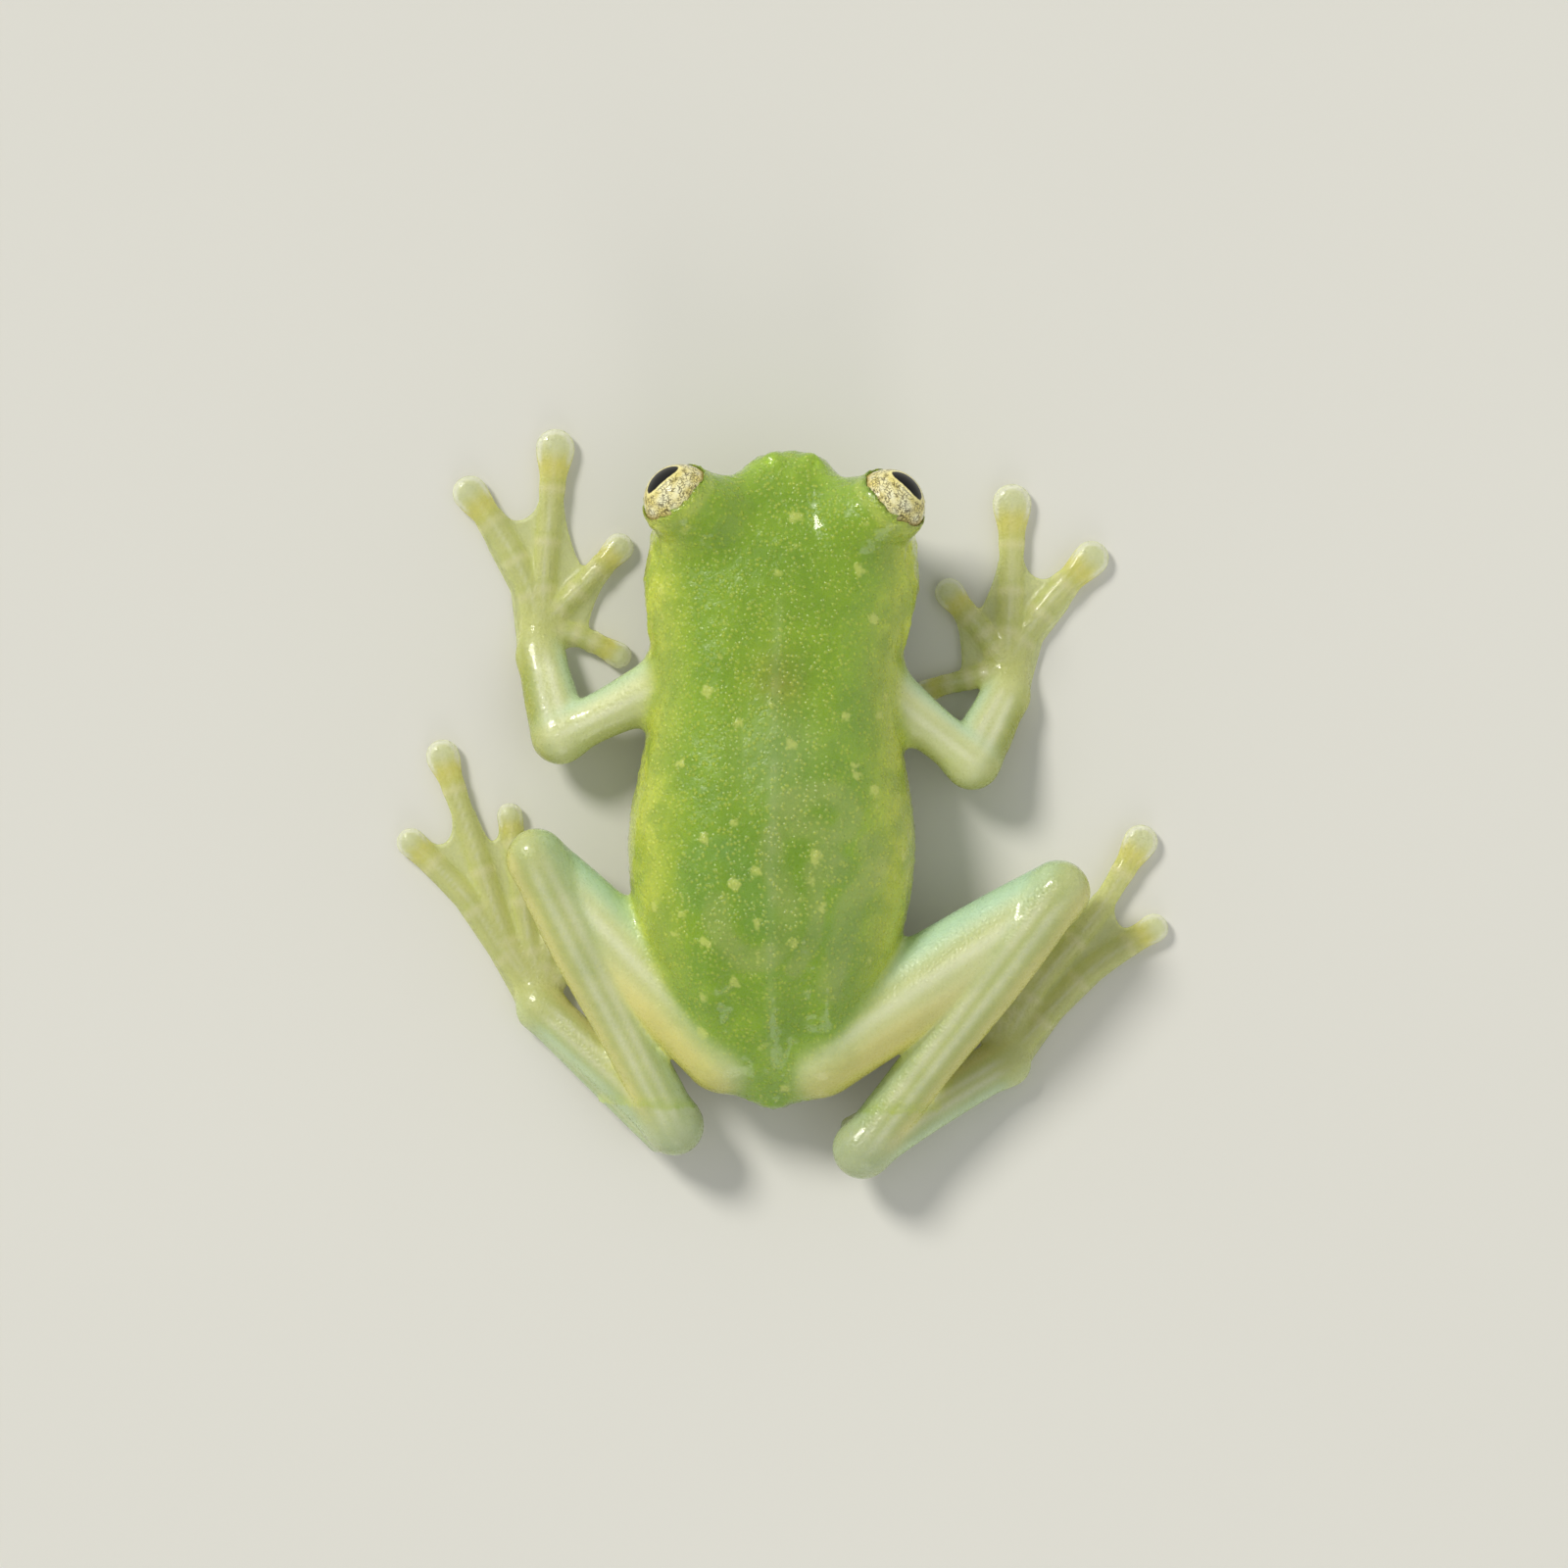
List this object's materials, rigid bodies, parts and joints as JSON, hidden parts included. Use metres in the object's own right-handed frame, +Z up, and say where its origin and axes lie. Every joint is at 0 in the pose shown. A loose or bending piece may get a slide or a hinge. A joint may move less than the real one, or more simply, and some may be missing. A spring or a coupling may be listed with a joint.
{
  "type": "glass frog",
  "caption": "Life-size still model of a glass frog lying flat on its belly, arms spread and hind legs folded, with webbed hands and feet and large gold eyes.",
  "frame": {"origin": "middle of the flat of the belly, on the surface that the frog rests on", "axes": "+X towards the frog's own left, +Y from the snout to the vent, +Z up out of the back"},
  "size_m": [0.0297, 0.0283, 0.0067],
  "materials": {
    "green_back": "moist yellow-green skin, translucent",
    "pale_limb": "moist pale green skin, translucent",
    "gold_eye": "wet pale gold eye"
  },
  "bodies": {
    "root": {"head": "green_back", "trunk": "green_back", "eye_right": "gold_eye", "eye_left": "gold_eye", "upper_arm_right": "pale_limb", "forearm_right": "pale_limb", "hand_right": "pale_limb", "finger_1_right": "pale_limb", "finger_2_right": "pale_limb", "finger_3_right": "pale_limb", "finger_4_right": "pale_limb", "thigh_right": "pale_limb", "shank_right": "pale_limb", "tarsus_right": "pale_limb", "foot_right": "pale_limb", "toe_1_right": "pale_limb", "toe_2_right": "pale_limb", "toe_3_right": "pale_limb", "toe_4_right": "pale_limb", "toe_5_right": "pale_limb", "upper_arm_left": "pale_limb", "forearm_left": "pale_limb", "hand_left": "pale_limb", "finger_1_left": "pale_limb", "finger_2_left": "pale_limb", "finger_3_left": "pale_limb", "finger_4_left": "pale_limb", "thigh_left": "pale_limb", "shank_left": "pale_limb", "tarsus_left": "pale_limb", "foot_left": "pale_limb", "toe_1_left": "pale_limb", "toe_2_left": "pale_limb", "toe_3_left": "pale_limb", "toe_4_left": "pale_limb", "toe_5_left": "pale_limb"}
  },
  "joints": []
}
